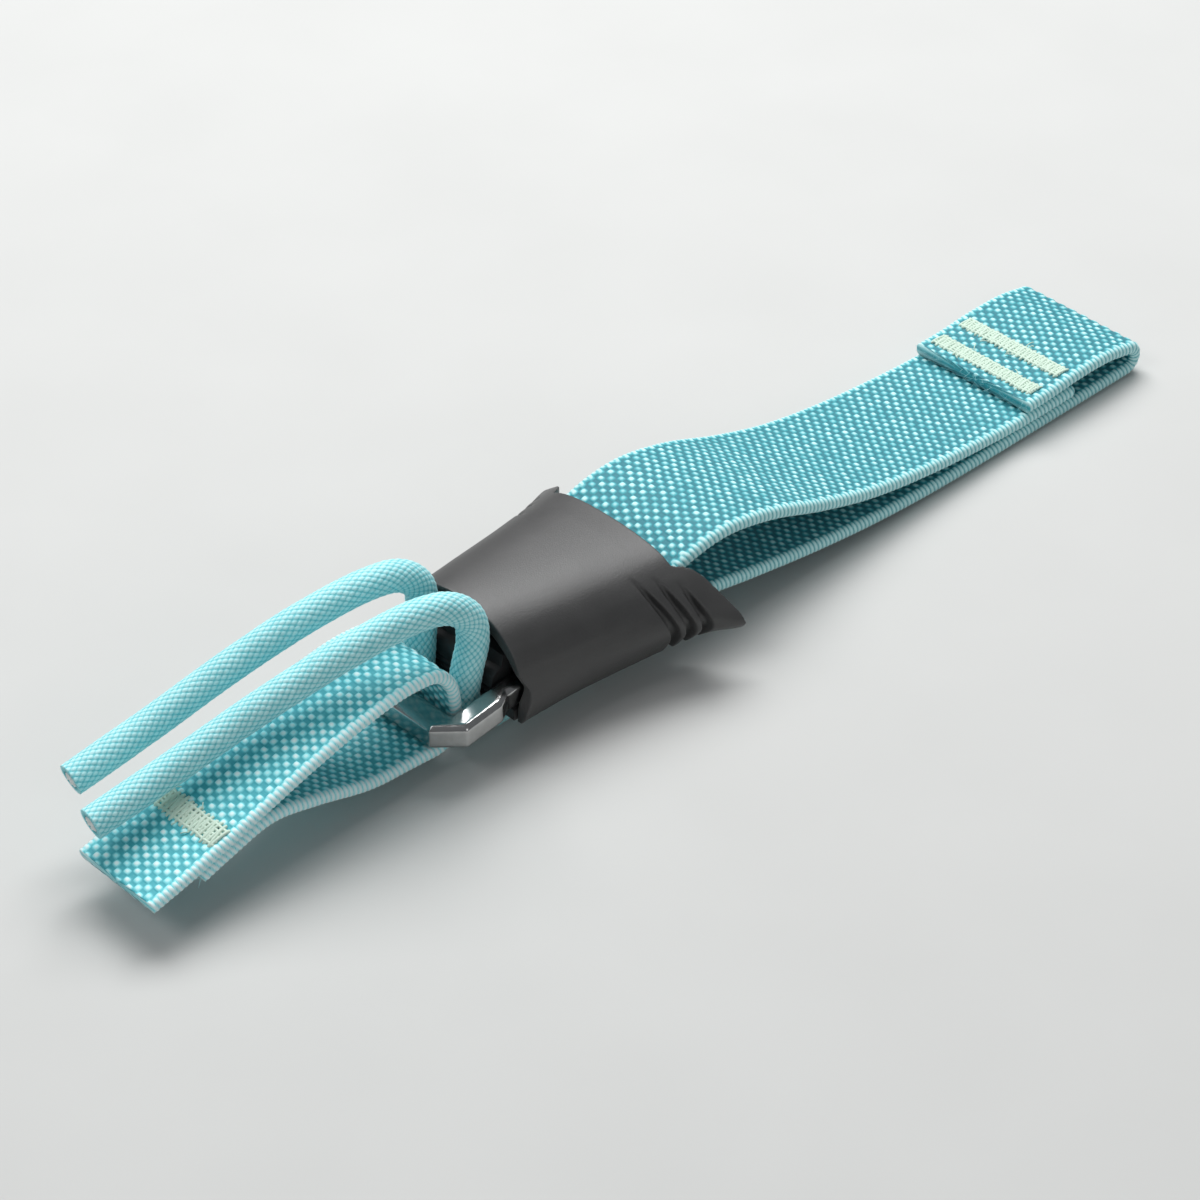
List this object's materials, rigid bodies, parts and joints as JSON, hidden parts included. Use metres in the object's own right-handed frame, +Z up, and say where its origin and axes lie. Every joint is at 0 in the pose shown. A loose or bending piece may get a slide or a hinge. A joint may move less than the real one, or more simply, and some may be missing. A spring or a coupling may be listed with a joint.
{
  "type": "pull-release drawcord lock",
  "caption": "Pull-release cord lock: flared plastic sleeve, spring-returned metal ring clamping drawcords, webbing pull tab and stitched webbing anchor loop.",
  "frame": {"origin": "middle of the flat underside of the plastic sleeve, half way along it and on its middle plane", "axes": "+X to the rear (anchor webbing), -X to the front (ring, pull tab and cord tails), +Z up out of the sleeve's domed roof, +Y to the left seen from the rear looking forward"},
  "size_m": [0.1252, 0.027, 0.018],
  "materials": {
    "sleeve_plastic": "satin moulded acetal, near black",
    "inner_plastic": "moulded acetal, near black",
    "yoke_plastic": "moulded acetal, dark grey",
    "ring_metal": "polished nickel plate on zinc die casting",
    "pin_steel": "drawn stainless steel",
    "spring_steel": "stainless spring wire",
    "cord_sheath": "braided polyester, light cyan",
    "cord_core": "white core yarns",
    "tab_webbing": "ribbed polyester webbing, light turquoise",
    "anchor_webbing": "plain-woven polyester webbing, teal",
    "tack_thread": "pale green bar-tack thread"
  },
  "bodies": {
    "housing": {"upper_shell": "sleeve_plastic", "lower_shell": "inner_plastic", "anchor_pin": "pin_steel", "return_spring_left": "spring_steel", "return_spring_right": "spring_steel", "cord_left_sheath": "cord_sheath", "cord_left_core": "cord_core", "cord_right_sheath": "cord_sheath", "cord_right_core": "cord_core"},
    "slider": {"pull_ring": "ring_metal", "spring_yoke": "yoke_plastic"},
    "pull_tab": {"pull_tab_webbing": "tab_webbing", "pull_tab_bartack": "tack_thread"},
    "anchor_loop": {"anchor_webbing": "anchor_webbing", "anchor_bartack_front": "tack_thread", "anchor_bartack_rear": "tack_thread"}
  },
  "joints": [
    {"name": "ring_slide", "type": "slide", "parent": "housing", "child": "slider", "axis": [-1, 0, 0], "range_m": [0, 0.003], "stiffness_N_per_m": 300, "springref_m": -0.001, "deforming": ["return_spring_left", "return_spring_right"]},
    {"name": "tab_swing", "type": "hinge", "parent": "slider", "child": "pull_tab", "pos_m": [-0.0193, 0, 0.00175], "axis": [0, 1, 0], "range_deg": [-45, 0]},
    {"name": "loop_swing", "type": "hinge", "parent": "housing", "child": "anchor_loop", "pos_m": [0.0066, 0, 0.004], "axis": [0, 1, 0], "range_deg": [-20, 35]}
  ]
}
